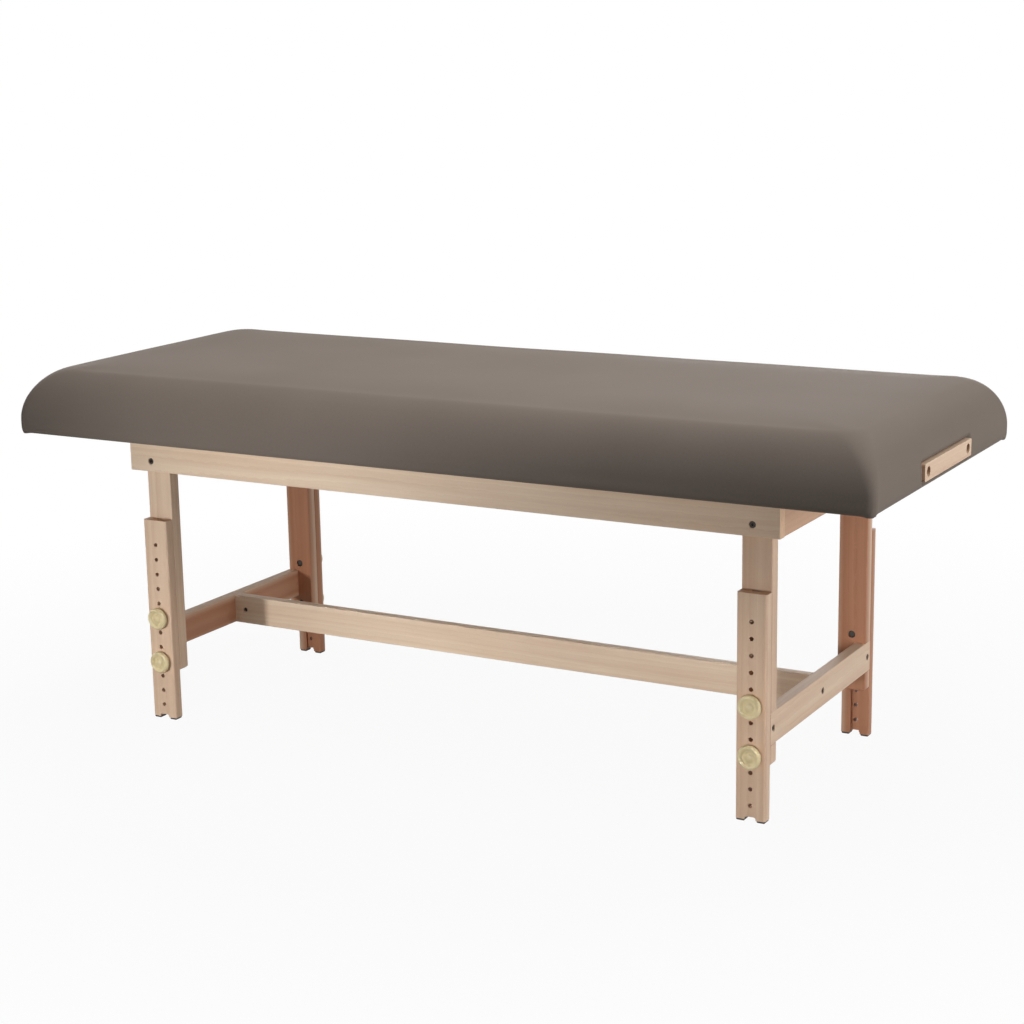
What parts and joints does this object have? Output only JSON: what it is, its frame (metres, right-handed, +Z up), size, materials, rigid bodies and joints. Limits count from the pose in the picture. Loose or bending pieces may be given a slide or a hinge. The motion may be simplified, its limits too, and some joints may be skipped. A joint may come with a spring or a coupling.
{
  "type": "massage table",
  "caption": "Massage table: a thick padded vinyl top on a pale timber frame, with legs set to height by bolts and clamp knobs, and a bored plate at the head end for a face rest.",
  "frame": {"origin": "on the floor under the middle of the table", "axes": "+X along the table towards the head end, +Y to its back side, +Z up"},
  "size_m": [1.892, 0.788, 0.7477],
  "materials": {
    "vinyl": "satin vinyl, fine grain",
    "foam": "open-cell foam",
    "plywood": "bare plywood",
    "timber": "clear satin lacquer on maple",
    "foot_rubber": "matte",
    "knob_plastic": "ivory, moulded",
    "brass": "turned",
    "steel": "zinc plated"
  },
  "bodies": {
    "frame": {"vinyl_cover": "vinyl", "top_foam": "foam", "base_foam": "foam", "deck_board": "plywood", "head_rail": "timber", "face_rest_plate": "timber", "side_apron_front": "timber", "deck_cleat_front": "timber", "side_apron_back": "timber", "deck_cleat_back": "timber", "end_apron_head": "timber", "deck_joist_head": "timber", "cross_stretcher_head": "timber", "end_apron_foot": "timber", "deck_joist_foot": "timber", "cross_stretcher_foot": "timber", "long_stretcher": "timber", "upper_leg_head_front": "timber", "upper_leg_head_back": "timber", "upper_leg_foot_front": "timber", "upper_leg_foot_back": "timber", "leg_bolts": "steel", "knob_washers": "steel", "apron_bolts": "steel", "stretcher_bolts": "steel", "barrel_nuts": "steel", "deck_screws": "steel", "leg_inserts": "brass", "apron_dowels": "timber"},
    "leg_head_front": {"lower_leg_head_front": "timber", "foot_pads_head_front": "foot_rubber"},
    "knob_head_front_lower": {"clamp_knob_head_front_lower": "knob_plastic", "knob_insert_head_front_lower": "brass"},
    "knob_head_front_upper": {"clamp_knob_head_front_upper": "knob_plastic", "knob_insert_head_front_upper": "brass"},
    "leg_head_back": {"lower_leg_head_back": "timber", "foot_pads_head_back": "foot_rubber"},
    "knob_head_back_lower": {"clamp_knob_head_back_lower": "knob_plastic", "knob_insert_head_back_lower": "brass"},
    "knob_head_back_upper": {"clamp_knob_head_back_upper": "knob_plastic", "knob_insert_head_back_upper": "brass"},
    "leg_foot_front": {"lower_leg_foot_front": "timber", "foot_pads_foot_front": "foot_rubber"},
    "knob_foot_front_lower": {"clamp_knob_foot_front_lower": "knob_plastic", "knob_insert_foot_front_lower": "brass"},
    "knob_foot_front_upper": {"clamp_knob_foot_front_upper": "knob_plastic", "knob_insert_foot_front_upper": "brass"},
    "leg_foot_back": {"lower_leg_foot_back": "timber", "foot_pads_foot_back": "foot_rubber"},
    "knob_foot_back_lower": {"clamp_knob_foot_back_lower": "knob_plastic", "knob_insert_foot_back_lower": "brass"},
    "knob_foot_back_upper": {"clamp_knob_foot_back_upper": "knob_plastic", "knob_insert_foot_back_upper": "brass"}
  },
  "joints": [
    {"name": "height_head_front", "type": "slide", "parent": "frame", "child": "leg_head_front", "axis": [0, 0, 1], "range_m": [-0.096, 0.096]},
    {"name": "turn_knob_head_front_lower", "type": "hinge", "parent": "frame", "child": "knob_head_front_lower", "pos_m": [0.679, -0.2882, 0.128], "axis": [0, -1, 0], "continuous": true},
    {"name": "turn_knob_head_front_upper", "type": "hinge", "parent": "frame", "child": "knob_head_front_upper", "pos_m": [0.679, -0.2882, 0.224], "axis": [0, -1, 0], "continuous": true},
    {"name": "height_head_back", "type": "slide", "parent": "frame", "child": "leg_head_back", "axis": [0, 0, 1], "range_m": [-0.096, 0.096]},
    {"name": "turn_knob_head_back_lower", "type": "hinge", "parent": "frame", "child": "knob_head_back_lower", "pos_m": [0.679, 0.2882, 0.128], "axis": [0, 1, 0], "continuous": true},
    {"name": "turn_knob_head_back_upper", "type": "hinge", "parent": "frame", "child": "knob_head_back_upper", "pos_m": [0.679, 0.2882, 0.224], "axis": [0, 1, 0], "continuous": true},
    {"name": "height_foot_front", "type": "slide", "parent": "frame", "child": "leg_foot_front", "axis": [0, 0, 1], "range_m": [-0.096, 0.096]},
    {"name": "turn_knob_foot_front_lower", "type": "hinge", "parent": "frame", "child": "knob_foot_front_lower", "pos_m": [-0.679, -0.2882, 0.128], "axis": [0, -1, 0], "continuous": true},
    {"name": "turn_knob_foot_front_upper", "type": "hinge", "parent": "frame", "child": "knob_foot_front_upper", "pos_m": [-0.679, -0.2882, 0.224], "axis": [0, -1, 0], "continuous": true},
    {"name": "height_foot_back", "type": "slide", "parent": "frame", "child": "leg_foot_back", "axis": [0, 0, 1], "range_m": [-0.096, 0.096]},
    {"name": "turn_knob_foot_back_lower", "type": "hinge", "parent": "frame", "child": "knob_foot_back_lower", "pos_m": [-0.679, 0.2882, 0.128], "axis": [0, 1, 0], "continuous": true},
    {"name": "turn_knob_foot_back_upper", "type": "hinge", "parent": "frame", "child": "knob_foot_back_upper", "pos_m": [-0.679, 0.2882, 0.224], "axis": [0, 1, 0], "continuous": true}
  ]
}
